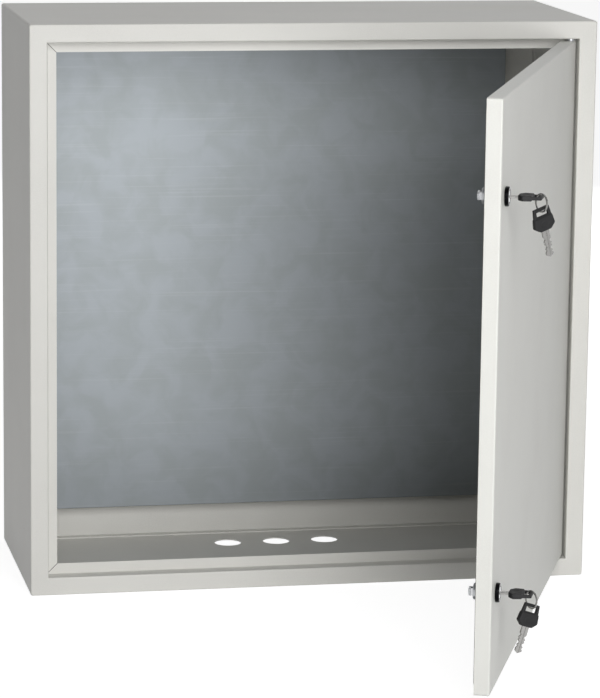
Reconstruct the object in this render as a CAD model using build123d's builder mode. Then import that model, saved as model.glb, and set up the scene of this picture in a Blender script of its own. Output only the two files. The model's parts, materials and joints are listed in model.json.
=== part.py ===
from build123d import *
from math import cos, radians, sin
import os

os.makedirs("parts", exist_ok=True)

# A steel wall cabinet with an inset door. The origin is the middle of the back face, which
# goes against the wall. X runs to the right, Y back to the wall and Z up. All sizes are in mm.

# Cabinet
cabinet_width = 600.0
cabinet_height = 600.0
cabinet_depth = 250.0
body_sheet = 1.2
corner_radius = 2.5
bend_radius = 1.6

# Door frame: a front face, a return into the cabinet and a lip that the door closes against
frame_face = 19.0
frame_return = 17.0
lip_width = 11.0

# Cable holes in the bottom wall
cable_hole_diameter = 30.0
cable_hole_spacing = 55.0
cable_hole_from_back = 54.0

# Back panel, a shallow tray welded into the shell
back_sheet = 1.2
back_flange = 10.0
back_bend_radius = 1.0
wall_hole_diameter = 9.0
wall_hole_from_edge = 25.0

# Mounting plate on four welded studs
plate_from_side = 38.0
plate_from_top = 38.0
plate_corner_radius = 2.5
plate_thickness = 2.0
plate_edge_chamfer = 0.5
plate_stand_off = 17.0
plate_stud_from_side = 12.0
plate_stud_from_top = 90.0
plate_stud_diameter = 6.0
plate_stud_spare = 5.0
stud_end_chamfer = 0.6
plate_hole_diameter = 7.0
spacer_diameter = 12.0
plate_washer_diameter = 12.0
plate_washer_thickness = 1.6
plate_nut_across_flats = 10.0
plate_nut_height = 5.0

# Protective earth studs, one on the back panel and one inside the door
earth_stud_diameter = 6.0
earth_stud_length = 16.0
earth_washer_diameter = 12.0
earth_washer_thickness = 1.6
earth_nut_across_flats = 10.0
earth_nut_height = 5.0
body_earth_from_side = 38.0
body_earth_from_bottom = 19.0
door_earth_from_hinge_edge = 40.0
door_earth_from_bottom = 40.0

# Door: a folded pan that sits in the frame, hinged on the right
door_sheet = 1.5
door_gap = 2.5
door_thickness = 15.0
door_rear_flange = 14.0
door_corner_radius = 2.0
door_edge_radius = 1.5
door_open_angle = 67.5

# Gasket on the rear flange of the door
gasket_from_edge = 5.0
gasket_width = 8.0
gasket_height = 1.5
gasket_crown_radius = 1.0

# Hinges: a headed pin through the frame into a bush in the door, top and bottom
pivot_from_edge = 6.0
pivot_from_front = 5.0
pin_diameter = 5.0
pin_head_diameter = 7.0
pin_head_height = 2.4
pin_reach = 7.0
hinge_washer_diameter = 8.0
hinge_washer_play = 0.3
bush_width = 12.0
bush_depth = 10.0
bush_height = 12.0

# Cam locks
lock_from_free_edge = 29.0
lock_from_end = 92.5
bezel_diameter = 18.5
bezel_height = 4.0
bezel_edge_radius = 1.1
barrel_diameter = 16.0
barrel_across_flats = 14.0
barrel_length = 21.0
plug_diameter = 11.0
plug_square = 7.0
lock_washer_diameter = 22.0
lock_washer_thickness = 1.2
lock_nut_across_flats = 22.0
lock_nut_height = 4.0
cam_reach = 33.0
cam_width = 14.0
cam_tip_width = 11.0
cam_thickness = 2.0
cam_play = 0.3
cam_screw_diameter = 9.0
cam_screw_height = 2.6
cam_screw_crown_radius = 0.9
cam_screw_shank = 4.0
cam_screw_length = 4.0
plug_setback = 0.1

# Keys: a steel blade in a flat plastic head. One is in the lock, with a spare on a wire ring.
key_blade_width = 8.0
key_blade_thickness = 1.8
key_blade_length = 26.0
key_blade_point = 2.5
key_shank_length = 8.2
key_bow_length = 8.0
key_bow_width = 10.0
key_cuts = (1.1, 1.7, 0.8, 1.4)
key_cut_pitch = 3.6
key_head_length = 22.0
key_head_width = 23.0
key_top_width = 17.5
key_foot_width = 12.0
key_foot_length = 4.5
key_corner_radius = 0.8
key_head_thickness = 5.0
key_rim_thickness = 3.0
key_rim_length = 9.0
key_slot_length = 13.0
key_slot_width = 4.8
key_slot_radius = 1.0
key_bridge = 3.0
ring_wire = 1.4
ring_diameter = 18.0
ring_swivel = 45.0
ring_drop = 4.6
ring_shift = 0.7
ring_slack = 0.45
spare_lean = {"upper": -16.0, "lower": 20.0}

# Clearances
running_fit = 0.05
pin_fit = 0.1
lock_fit = 0.25
key_play = 0.2

# Places worked out from the sizes above. The front of the cabinet faces -Y.
front = -cabinet_depth
opening_width = cabinet_width - 2 * frame_face
opening_height = cabinet_height - 2 * frame_face
wall_hole_spacing_x = cabinet_width - 2 * wall_hole_from_edge
wall_hole_spacing_z = cabinet_height - 2 * wall_hole_from_edge
lip_front = front + frame_return
door_width = opening_width - 2 * door_gap
door_height = opening_height - 2 * door_gap
hinge_x = door_width / 2 - pivot_from_edge
hinge_y = front + pivot_from_front
lock_x = -door_width / 2 + lock_from_free_edge
plate_width = cabinet_width - 2 * plate_from_side
plate_height = cabinet_height - 2 * plate_from_top
plate_stud_spacing_x = plate_width - 2 * plate_stud_from_side
plate_stud_spacing_z = plate_height - 2 * plate_stud_from_top
plate_back = -back_sheet - plate_stand_off
plate_front = plate_back - plate_thickness
lock_heights = {"upper": door_height / 2 - lock_from_end, "lower": lock_from_end - door_height / 2}
keyway_depth = key_blade_length - key_shank_length + 2 * key_play

# The door and all that rides on it is drawn closed. This turns it about the hinge pins.
swing = Location((hinge_x, hinge_y, 0), (0, 0, door_open_angle)) * Location((-hinge_x, -hinge_y, 0))


def upright(y):
    """Plane that faces the front at a given Y, with X to the right and Z up."""
    return Plane.XZ.offset(-y)


def on_door(plane):
    """Carry a plane of the closed door to where the open door stands."""
    return Plane(swing * plane.location)


def door_layer(depth):
    """Plane parallel to the door's front, a given depth behind it, on the open door."""
    return on_door(upright(front + depth))


# Axis out of the front of the open door, for picking its front edges
door_outward = Axis((0, 0, 0), door_layer(0).z_dir)


def save(builder, name):
    """Label a finished piece and write it to its own file."""
    builder.part.label = name
    export_step(builder.part, f"parts/{name}.step")


# Body shell: four walls, with the front edges folded into the frame, the return and the lip
with BuildPart() as body_shell:
    with BuildSketch(Plane.XZ):
        RectangleRounded(cabinet_width, cabinet_height, corner_radius)
    extrude(amount=cabinet_depth)
    with BuildSketch(Plane.XZ):
        inner_radius = corner_radius - body_sheet
        inner_width = cabinet_width - 2 * body_sheet
        inner_height = cabinet_height - 2 * body_sheet
        RectangleRounded(inner_width, inner_height, inner_radius)
    extrude(amount=cabinet_depth - body_sheet, mode=Mode.SUBTRACT)
    with BuildSketch(upright(front)):
        Rectangle(opening_width + 2 * body_sheet, opening_height + 2 * body_sheet)
    extrude(amount=-(frame_return + body_sheet))
    with BuildSketch(upright(front)):
        Rectangle(opening_width, opening_height)
    extrude(amount=-frame_return, mode=Mode.SUBTRACT)
    with BuildSketch(upright(lip_front)):
        Rectangle(opening_width - 2 * lip_width, opening_height - 2 * lip_width)
    extrude(amount=-body_sheet, mode=Mode.SUBTRACT)
    front_edges = body_shell.edges().group_by(Axis.Y)[0]
    fillet(front_edges, radius=bend_radius)
    with BuildSketch(Plane.XY.offset(-cabinet_height / 2)):
        with Locations((0, -cable_hole_from_back)):
            with GridLocations(cable_hole_spacing, 1, 3, 1):
                Circle(cable_hole_diameter / 2)
    extrude(amount=body_sheet, mode=Mode.SUBTRACT)
    with BuildSketch(Plane.XY):
        with Locations((hinge_x, hinge_y)):
            Circle(pin_diameter / 2 + pin_fit)
    extrude(amount=opening_height / 2 + body_sheet, both=True, mode=Mode.SUBTRACT)
save(body_shell, "body_shell")

# Back panel: a tray whose flanges are spot welded to the four walls
with BuildPart() as back_panel:
    panel_width = cabinet_width - 2 * body_sheet
    panel_height = cabinet_height - 2 * body_sheet
    with BuildSketch(Plane.XZ):
        RectangleRounded(panel_width, panel_height, corner_radius)
    extrude(amount=back_sheet + back_flange)
    with BuildSketch(upright(-back_sheet)):
        Rectangle(panel_width - 2 * back_sheet, panel_height - 2 * back_sheet)
    extrude(amount=back_flange, mode=Mode.SUBTRACT)
    fillet(back_panel.edges().group_by(Axis.Y)[-1], radius=back_bend_radius)
    with BuildSketch(Plane.XZ):
        with GridLocations(wall_hole_spacing_x, wall_hole_spacing_z, 2, 2):
            Circle(wall_hole_diameter / 2)
    extrude(amount=back_sheet, mode=Mode.SUBTRACT)
save(back_panel, "back_panel")

# Four studs welded to the back panel, with a spacer tube, washer and nut on each
stud_length = plate_stand_off + plate_thickness + plate_washer_thickness + plate_nut_height
with BuildPart() as plate_studs:
    with BuildSketch(upright(-back_sheet)):
        with GridLocations(plate_stud_spacing_x, plate_stud_spacing_z, 2, 2):
            Circle(plate_stud_diameter / 2)
    extrude(amount=stud_length + plate_stud_spare)
    chamfer(plate_studs.edges().group_by(Axis.Y)[0], length=stud_end_chamfer)
save(plate_studs, "plate_studs")

with BuildPart() as plate_spacers:
    with BuildSketch(upright(-back_sheet)):
        with GridLocations(plate_stud_spacing_x, plate_stud_spacing_z, 2, 2):
            Circle(spacer_diameter / 2)
            Circle(plate_stud_diameter / 2 + pin_fit, mode=Mode.SUBTRACT)
    extrude(amount=plate_stand_off)
save(plate_spacers, "plate_spacers")

with BuildPart() as mounting_plate:
    with BuildSketch(upright(plate_back)):
        RectangleRounded(plate_width, plate_height, plate_corner_radius)
        with GridLocations(plate_stud_spacing_x, plate_stud_spacing_z, 2, 2):
            Circle(plate_hole_diameter / 2, mode=Mode.SUBTRACT)
    extrude(amount=plate_thickness)
    rim = mounting_plate.edges().group_by(Axis.Y)[0].filter_by(GeomType.CIRCLE, reverse=True)
    chamfer(rim, length=plate_edge_chamfer)
save(mounting_plate, "mounting_plate")

with BuildPart() as plate_washers:
    with BuildSketch(upright(plate_front)):
        with GridLocations(plate_stud_spacing_x, plate_stud_spacing_z, 2, 2):
            Circle(plate_washer_diameter / 2)
            Circle(plate_stud_diameter / 2 + pin_fit, mode=Mode.SUBTRACT)
    extrude(amount=plate_washer_thickness)
save(plate_washers, "plate_washers")

with BuildPart() as plate_nuts:
    with BuildSketch(upright(plate_front - plate_washer_thickness)):
        with GridLocations(plate_stud_spacing_x, plate_stud_spacing_z, 2, 2):
            RegularPolygon(plate_nut_across_flats / 2, 6, major_radius=False)
            Circle(plate_stud_diameter / 2 + pin_fit, mode=Mode.SUBTRACT)
    extrude(amount=plate_nut_height)
save(plate_nuts, "plate_nuts")


def earth_terminal(owner, seat, x, z):
    """Welded earth stud with its washer and nut, standing on a seat plane at x, z."""
    with BuildPart() as stud:
        with BuildSketch(seat):
            with Locations((x, z)):
                Circle(earth_stud_diameter / 2)
        extrude(amount=earth_stud_length)
    save(stud, f"{owner}_earth_stud")
    with BuildPart() as washer:
        with BuildSketch(seat):
            with Locations((x, z)):
                Circle(earth_washer_diameter / 2)
                Circle(earth_stud_diameter / 2 + pin_fit, mode=Mode.SUBTRACT)
        extrude(amount=earth_washer_thickness)
    save(washer, f"{owner}_earth_washer")
    with BuildPart() as nut:
        with BuildSketch(seat.offset(earth_washer_thickness)):
            with Locations((x, z)):
                RegularPolygon(earth_nut_across_flats / 2, 6, major_radius=False)
                Circle(earth_stud_diameter / 2 + pin_fit, mode=Mode.SUBTRACT)
        extrude(amount=earth_nut_height)
    save(nut, f"{owner}_earth_nut")


body_earth_x = cabinet_width / 2 - body_earth_from_side
body_earth_z = body_earth_from_bottom - cabinet_height / 2
earth_terminal("body", upright(-back_sheet), body_earth_x, body_earth_z)

# Inside the door the seat faces the cabinet, so its X runs towards the free edge
door_inside = Plane(
    origin=door_layer(door_sheet).origin,
    x_dir=-door_layer(0).x_dir,
    z_dir=-door_layer(0).z_dir,
)
door_earth_x = door_width / 2 - door_earth_from_hinge_edge
door_earth_z = -door_height / 2 + door_earth_from_bottom
earth_terminal("door", door_inside, -door_earth_x, door_earth_z)


def barrel_section(height, clearance):
    """Section of a lock barrel, drawn in the open sketch: a round with a flat on each side."""
    round_height = barrel_diameter + 2 * clearance
    flat_x = barrel_across_flats / 2 + clearance
    with Locations((lock_x, height)):
        Circle(round_height / 2)
    for flat_side, align in ((-1, Align.MAX), (1, Align.MIN)):
        with Locations((lock_x + flat_side * flat_x, height)):
            Rectangle(round_height, round_height, align=(align, Align.CENTER), mode=Mode.SUBTRACT)


# Door panel: a pan with folded sides and a narrow flange all round at the rear
with BuildPart() as door_panel:
    with BuildSketch(door_layer(0)):
        RectangleRounded(door_width, door_height, door_corner_radius)
    extrude(amount=-door_thickness)
    front_rim = door_panel.edges().group_by(door_outward)[-1]
    fillet(front_rim, radius=door_edge_radius)
    with BuildSketch(door_layer(door_sheet)):
        Rectangle(door_width - 2 * door_sheet, door_height - 2 * door_sheet)
    extrude(amount=-(door_thickness - 2 * door_sheet), mode=Mode.SUBTRACT)
    with BuildSketch(door_layer(door_thickness)):
        Rectangle(door_width - 2 * door_rear_flange, door_height - 2 * door_rear_flange)
    extrude(amount=door_sheet, mode=Mode.SUBTRACT)
    with BuildSketch(door_layer(0)):
        for lock_z in lock_heights.values():
            barrel_section(lock_z, lock_fit)
    extrude(amount=-door_sheet, mode=Mode.SUBTRACT)
    with BuildSketch(on_door(Plane.XY)):
        with Locations((hinge_x, hinge_y)):
            Circle(pin_diameter / 2 + running_fit)
    extrude(amount=door_height / 2, both=True, mode=Mode.SUBTRACT)
save(door_panel, "door_panel")

# Gasket: one foam ring on the rear flange
with BuildPart() as door_gasket:
    with BuildSketch(door_layer(door_thickness)):
        gasket_outer_width = door_width - 2 * gasket_from_edge
        gasket_outer_height = door_height - 2 * gasket_from_edge
        RectangleRounded(gasket_outer_width, gasket_outer_height, gasket_width)
        Rectangle(
            gasket_outer_width - 2 * gasket_width,
            gasket_outer_height - 2 * gasket_width,
            mode=Mode.SUBTRACT,
        )
    extrude(amount=-gasket_height)
    crown = door_gasket.edges().group_by(door_outward)[0]
    fillet(crown, radius=gasket_crown_radius)
save(door_gasket, "door_gasket")


def hinge(side, up):
    """Pin and washer on the frame, bush in the door. up is 1 at the top and -1 at the bottom."""
    return_face = opening_height / 2
    door_end = door_height / 2
    seat = Plane.XY if up > 0 else Plane.XY.rotated((180, 0, 0))
    turn_y = hinge_y if up > 0 else -hinge_y
    with BuildPart() as pin:
        with BuildSketch(seat.offset(door_end - pin_reach)):
            with Locations((hinge_x, turn_y)):
                Circle(pin_diameter / 2)
        extrude(amount=return_face + body_sheet - door_end + pin_reach)
        with BuildSketch(seat.offset(return_face + body_sheet)):
            with Locations((hinge_x, turn_y)):
                Circle(pin_head_diameter / 2)
        extrude(amount=pin_head_height)
    save(pin, f"{side}_hinge_pin")
    with BuildPart() as washer:
        with BuildSketch(seat.offset(door_end + hinge_washer_play)):
            with Locations((hinge_x, turn_y)):
                Circle(hinge_washer_diameter / 2)
                Circle(pin_diameter / 2 + pin_fit, mode=Mode.SUBTRACT)
        extrude(amount=door_gap - hinge_washer_play)
    save(washer, f"{side}_hinge_washer")
    bush_x = door_width / 2 - door_sheet - bush_width / 2
    bush_y = front + door_sheet + bush_depth / 2
    bush_floor = door_end - door_sheet - bush_height if up > 0 else -door_end + door_sheet
    with BuildPart() as bush:
        with BuildSketch(on_door(Plane.XY.offset(bush_floor))):
            with Locations((bush_x, bush_y)):
                Rectangle(bush_width, bush_depth)
            with Locations((hinge_x, hinge_y)):
                Circle(pin_diameter / 2 + running_fit, mode=Mode.SUBTRACT)
        extrude(amount=bush_height)
    save(bush, f"{side}_hinge_bush")


hinge("upper", 1)
hinge("lower", -1)


def cam_lock(side, height):
    """Barrel, washer and nut on the door, and the plug, cam and screw that turn in it."""
    with BuildPart() as housing:
        with BuildSketch(door_layer(0)):
            with Locations((lock_x, height)):
                Circle(bezel_diameter / 2)
        extrude(amount=bezel_height)
        fillet(housing.edges().group_by(door_outward)[-1], radius=bezel_edge_radius)
        with BuildSketch(door_layer(0)):
            barrel_section(height, 0)
        extrude(amount=-barrel_length)
        with BuildSketch(door_layer(barrel_length)):
            with Locations((lock_x, height)):
                Circle(plug_diameter / 2 + running_fit)
        extrude(amount=barrel_length + bezel_height, mode=Mode.SUBTRACT)
    save(housing, f"{side}_lock_barrel")
    with BuildPart() as washer:
        with BuildSketch(door_layer(door_sheet)):
            with Locations((lock_x, height)):
                Circle(lock_washer_diameter / 2)
                Circle(barrel_diameter / 2 + pin_fit, mode=Mode.SUBTRACT)
        extrude(amount=-lock_washer_thickness)
    save(washer, f"{side}_lock_washer")
    with BuildPart() as nut:
        with BuildSketch(door_layer(door_sheet + lock_washer_thickness)):
            with Locations((lock_x, height)):
                RegularPolygon(lock_nut_across_flats / 2, 6, major_radius=False)
                Circle(barrel_diameter / 2 + pin_fit, mode=Mode.SUBTRACT)
        extrude(amount=-lock_nut_height)
    save(nut, f"{side}_lock_nut")
    cam_front = barrel_length + cam_play
    cam_back = cam_front + cam_thickness
    with BuildPart() as plug:
        with BuildSketch(door_layer(cam_front)):
            with Locations((lock_x, height)):
                Circle(plug_diameter / 2)
        extrude(amount=cam_front + bezel_height - plug_setback)
        with BuildSketch(door_layer(cam_back)):
            with Locations((lock_x, height)):
                Rectangle(plug_square, plug_square)
        extrude(amount=cam_thickness)
        with BuildSketch(door_layer(cam_back)):
            with Locations((lock_x, height)):
                Circle(cam_screw_shank / 2 + pin_fit)
        extrude(amount=cam_thickness + cam_screw_length, mode=Mode.SUBTRACT)
        with BuildSketch(door_layer(-bezel_height)):
            with Locations((lock_x, height)):
                Rectangle(
                    key_blade_width + 2 * key_play,
                    key_blade_thickness + 2 * key_play,
                )
        extrude(amount=-keyway_depth, mode=Mode.SUBTRACT)
    save(plug, f"{side}_lock_plug")
    with BuildPart() as cam:
        with BuildSketch(door_layer(cam_back)):
            with Locations((lock_x, height)):
                Circle(cam_width / 2)
            with Locations((lock_x, height + cam_reach - cam_tip_width / 2)):
                Circle(cam_tip_width / 2)
            make_hull()
            with Locations((lock_x, height)):
                Rectangle(plug_square + 2 * pin_fit, plug_square + 2 * pin_fit, mode=Mode.SUBTRACT)
        extrude(amount=cam_thickness)
    save(cam, f"{side}_lock_cam")
    with BuildPart() as screw:
        with BuildSketch(door_layer(cam_back)):
            with Locations((lock_x, height)):
                Circle(cam_screw_diameter / 2)
        extrude(amount=-cam_screw_height)
        fillet(screw.edges().group_by(door_outward)[0], radius=cam_screw_crown_radius)
        with BuildSketch(door_layer(cam_back)):
            with Locations((lock_x, height)):
                Circle(cam_screw_shank / 2)
        extrude(amount=cam_thickness + cam_screw_length - key_play)
    save(screw, f"{side}_cam_screw")


def flat_key(name, face):
    """Blade and head of one key. face is the plane through the middle of its thickness, with
    its origin where the blade enters the head and its Y running towards the head's end."""
    half_blade = key_blade_width / 2
    with BuildPart() as blade:
        with BuildSketch(face.offset(-key_blade_thickness / 2)):
            with BuildLine():
                Polyline(
                    (-half_blade, 0),
                    (-half_blade, key_blade_point - key_blade_length),
                    (0, -key_blade_length),
                    (half_blade, key_blade_point - key_blade_length),
                    (half_blade, 0),
                    close=True,
                )
            make_face()
            for number, cut in enumerate(key_cuts):
                cut_y = -key_blade_length + 2 * key_blade_point + number * key_cut_pitch
                with Locations((half_blade, cut_y), (-half_blade, cut_y + key_cut_pitch / 2)):
                    Rectangle(2 * cut, 2 * cut, rotation=45, mode=Mode.SUBTRACT)
            with Locations((0, key_bow_length / 2)):
                Rectangle(key_bow_width, key_bow_length)
        extrude(amount=key_blade_thickness)
    save(blade, f"{name}_blade")
    slot_y = key_head_length - key_bridge - key_slot_width / 2
    with BuildPart() as head:
        with BuildSketch(face.offset(-key_head_thickness / 2)) as outline:
            with BuildLine():
                Polyline(
                    (-key_foot_width / 2, 0),
                    (-key_head_width / 2, key_foot_length),
                    (-key_top_width / 2, key_head_length),
                    (key_top_width / 2, key_head_length),
                    (key_head_width / 2, key_foot_length),
                    (key_foot_width / 2, 0),
                    close=True,
                )
            make_face()
            fillet(outline.vertices(), radius=key_corner_radius)
            with Locations((0, slot_y)):
                RectangleRounded(key_slot_length, key_slot_width, key_slot_radius, mode=Mode.SUBTRACT)
        extrude(amount=key_head_thickness)
        for rim_side in (-1, 1):
            with BuildSketch(face.offset(rim_side * key_rim_thickness / 2)):
                with Locations((0, key_head_length - key_rim_length / 2)):
                    Rectangle(key_head_width, key_rim_length)
            extrude(amount=rim_side * key_head_thickness, mode=Mode.SUBTRACT)
        with BuildSketch(face.offset(-key_blade_thickness / 2)):
            with Locations((0, key_bow_length / 2)):
                Rectangle(key_bow_width, key_bow_length)
        extrude(amount=key_blade_thickness, mode=Mode.SUBTRACT)
    save(head, f"{name}_head")


def key_set(side, height):
    """The key in a lock, the wire ring through its head and the spare key on the ring."""
    head_start = front - bezel_height - key_shank_length
    in_lock = Plane((lock_x, head_start, height), x_dir=(-1, 0, 0), z_dir=(0, 0, 1))
    flat_key(f"{side}_key", on_door(in_lock))

    # The ring stands upright, turned by its swivel angle about the middle of the bridge
    bridge_y = head_start - key_head_length + key_bridge / 2
    turn = radians(ring_swivel)
    along_ring = Vector(-sin(turn), -cos(turn), 0)
    ring_normal = Vector(-cos(turn), sin(turn), 0)
    ring_centre = Vector(lock_x, bridge_y, height - ring_drop) + along_ring * ring_shift
    ring_radius = (ring_diameter - ring_wire) / 2
    ring_plane = on_door(Plane(ring_centre, x_dir=along_ring, z_dir=ring_normal))
    with BuildPart() as ring:
        with Locations(ring_plane.location):
            Torus(ring_radius, ring_wire / 2)
    save(ring, f"{side}_key_ring")

    # The spare hangs by its own slot from the lowest point of the ring
    hang_point = ring_centre - Vector(0, 0, ring_radius)
    lean = radians(spare_lean[side])
    head_up = Vector(0, 0, cos(lean)) - ring_normal * sin(lean)
    hang_y = key_head_length - key_bridge - ring_wire / 2 - ring_slack
    spare_start = hang_point - head_up * hang_y
    spare_plane = Plane(spare_start, x_dir=head_up.cross(along_ring), z_dir=along_ring)
    flat_key(f"{side}_spare_key", on_door(spare_plane))


for side, height in lock_heights.items():
    cam_lock(side, height)
    key_set(side, height)
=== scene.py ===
"""Steel wall enclosure with its door open: finishes, fine hardware, studio and camera."""

import json
import logging
from dataclasses import dataclass
from enum import Enum
from math import cos, pi, radians, sin

import bmesh
import bpy
import numpy as np
from mathutils import Matrix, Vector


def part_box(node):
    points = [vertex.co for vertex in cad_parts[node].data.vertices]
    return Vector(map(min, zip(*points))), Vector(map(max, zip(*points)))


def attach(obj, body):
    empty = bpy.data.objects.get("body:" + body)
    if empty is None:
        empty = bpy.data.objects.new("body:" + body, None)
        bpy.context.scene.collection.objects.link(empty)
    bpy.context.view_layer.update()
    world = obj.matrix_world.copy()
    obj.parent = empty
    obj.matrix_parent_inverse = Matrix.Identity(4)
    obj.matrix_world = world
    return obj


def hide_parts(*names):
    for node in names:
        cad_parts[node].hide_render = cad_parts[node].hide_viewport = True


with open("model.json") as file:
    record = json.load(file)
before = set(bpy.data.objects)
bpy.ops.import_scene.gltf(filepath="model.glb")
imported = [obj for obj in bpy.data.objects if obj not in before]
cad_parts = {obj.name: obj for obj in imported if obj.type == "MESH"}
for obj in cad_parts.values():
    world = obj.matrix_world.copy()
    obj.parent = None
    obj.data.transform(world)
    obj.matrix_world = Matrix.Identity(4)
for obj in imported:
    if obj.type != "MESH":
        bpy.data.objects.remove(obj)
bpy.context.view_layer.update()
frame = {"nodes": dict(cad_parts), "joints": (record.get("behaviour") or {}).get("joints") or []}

MM = 0.001
WELD_DISTANCE = 1e-6
UP = np.array((0.0, 0.0, 1.0))
TO_RIGHT = np.array((1.0, 0.0, 0.0))
TO_FRONT = np.array((0.0, -1.0, 0.0))
# How far the lip stands behind the front of the frame.
LIP_DEPTH_MM = 17.0
WHITE = "#FFFFFF"
log = logging.getLogger("enclosure")

Links = dict[str | int, object]
Stack = tuple[np.ndarray, bool]


class Side(Enum):
    """The two locks of the door, each with the way its spare key leans, in degrees."""

    UPPER = ("upper", -16.0)
    LOWER = ("lower", 20.0)

    @property
    def label(self) -> str:
        """Word that starts the names of this side's pieces."""
        return self.value[0]

    @property
    def lean(self) -> float:
        """Lean of the spare key on its ring, in radians."""
        return radians(self.value[1])


def linear(code: str) -> tuple[float, float, float, float]:
    """Turn an sRGB hex colour into linear light.

    Args:
        code: Colour as six hex digits after a hash sign.

    Returns:
        Red, green and blue in linear light, and an alpha of 1.
    """
    shares = np.array([int(code[i:i + 2], 16) / 255 for i in (1, 3, 5)])
    light = np.where(shares <= 0.04045, shares / 12.92, ((shares + 0.055) / 1.055) ** 2.4)
    return (*light.tolist(), 1.0)


def add_node(tree: bpy.types.NodeTree, kind: str, links: Links | None = None, **settings):
    """Add a shader node with its settings, its values and its links.

    Args:
        tree: Node tree that the node goes into.
        kind: Node type, without the word ShaderNode in front.
        links: Value, socket or node for each named or numbered input.
        **settings: Attributes of the node itself.

    Returns:
        The new node.
    """
    node = tree.nodes.new(f"ShaderNode{kind}")
    for name, value in settings.items():
        setattr(node, name, value)
    for name, source in (links or {}).items():
        if isinstance(source, bpy.types.Node):
            source = source.outputs[0]
        if isinstance(source, bpy.types.NodeSocket):
            tree.links.new(source, node.inputs[name])
        else:
            node.inputs[name].default_value = source
    return node


def per_metre(size_mm: float) -> float:
    """Scale of a pattern whose features are this many millimetres across."""
    return 1.0 / (size_mm * MM)


def feed(tree: bpy.types.NodeTree, name: str, source: bpy.types.NodeSocket) -> None:
    """Link a socket to the named input of the material's shader."""
    tree.links.new(source, tree.nodes["Principled BSDF"].inputs[name])


@dataclass(frozen=True)
class Finish:
    """What every finish shares: a name, a colour and a shader with its surface sockets."""

    name: str
    colour: str
    roughness: float
    metallic: float = 0.0

    def start(self) -> tuple[bpy.types.Material, bpy.types.NodeTree, bpy.types.NodeSocket]:
        """Make the material with its shader, and read Object coordinates.

        Returns:
            The material, its node tree and the socket of the coordinates.
        """
        material = bpy.data.materials.new(self.name)
        material.use_nodes = True
        tree = material.node_tree
        shader = tree.nodes["Principled BSDF"]
        shader.inputs["Base Color"].default_value = linear(self.colour)
        shader.inputs["Roughness"].default_value = self.roughness
        shader.inputs["Metallic"].default_value = self.metallic
        return material, tree, add_node(tree, "TexCoord").outputs["Object"]

    def vary_gloss(self, tree: bpy.types.NodeTree, pattern: bpy.types.Node, wander: float,
                   low: float = 0.0, high: float = 1.0) -> None:
        """Let the roughness follow a pattern, by so much each way.

        Args:
            tree: Node tree of the material.
            pattern: Node whose first output is the pattern.
            wander: How far the roughness goes up and down.
            low: Value of the pattern at which the surface is glossiest.
            high: Value of the pattern at which it is dullest.
        """
        gloss = add_node(
            tree, "MapRange",
            {"Value": pattern, "From Min": low, "From Max": high,
             "To Min": self.roughness - wander, "To Max": self.roughness + wander},
        )
        feed(tree, "Roughness", gloss.outputs[0])

    def build(self) -> bpy.types.Material:
        """Make the material. Each finish adds its own detail here."""
        raise NotImplementedError


@dataclass(frozen=True)
class PowderCoat(Finish):
    """Baked polyester powder paint on sheet steel: satin, with a fine orange-peel skin.

    The eye reads an even light grey with soft broad highlights, a slight wander of tone over
    a hand's width, and a skin of shallow bumps that only shows where light grazes it.
    """

    shade: str = "#D2D1CC"
    wander_mm: float = 85.0
    peel_mm: float = 2.6
    peel_height_mm: float = 0.012
    grain_mm: float = 0.9
    grain_share: float = 0.25
    tone_from: float = 0.45
    tone_to: float = 0.85
    mitre: "Mitre | None" = None

    def build(self) -> bpy.types.Material:
        """Mix two close greys by a broad noise, and raise the skin by a fine one.

        Returns:
            The material.
        """
        material, tree, at = self.start()
        wander = add_node(
            tree, "TexNoise", {"Vector": at, "Scale": per_metre(self.wander_mm), "Detail": 2.0}
        )
        grain = add_node(
            tree, "TexNoise", {"Vector": at, "Scale": per_metre(self.grain_mm), "Detail": 1.0}
        )
        share = add_node(
            tree, "Math", {0: wander, 1: grain, 2: self.grain_share}, operation="MULTIPLY_ADD"
        )
        spread = add_node(
            tree, "MapRange",
            {"Value": share, "From Min": self.tone_from, "From Max": self.tone_to},
        )
        tone = add_node(
            tree, "Mix", {0: spread, 6: linear(self.colour), 7: linear(self.shade)},
            data_type="RGBA",
        ).outputs[2]
        # Painted shade of the lip's open mitre seams.
        if self.mitre:
            tone = self.mitre.darken(tree, at, tone)
        feed(tree, "Base Color", tone)
        peel = add_node(
            tree, "TexNoise", {"Vector": at, "Scale": per_metre(self.peel_mm), "Detail": 1.5}
        )
        add_bump(tree, peel, self.peel_height_mm)
        return material


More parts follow.
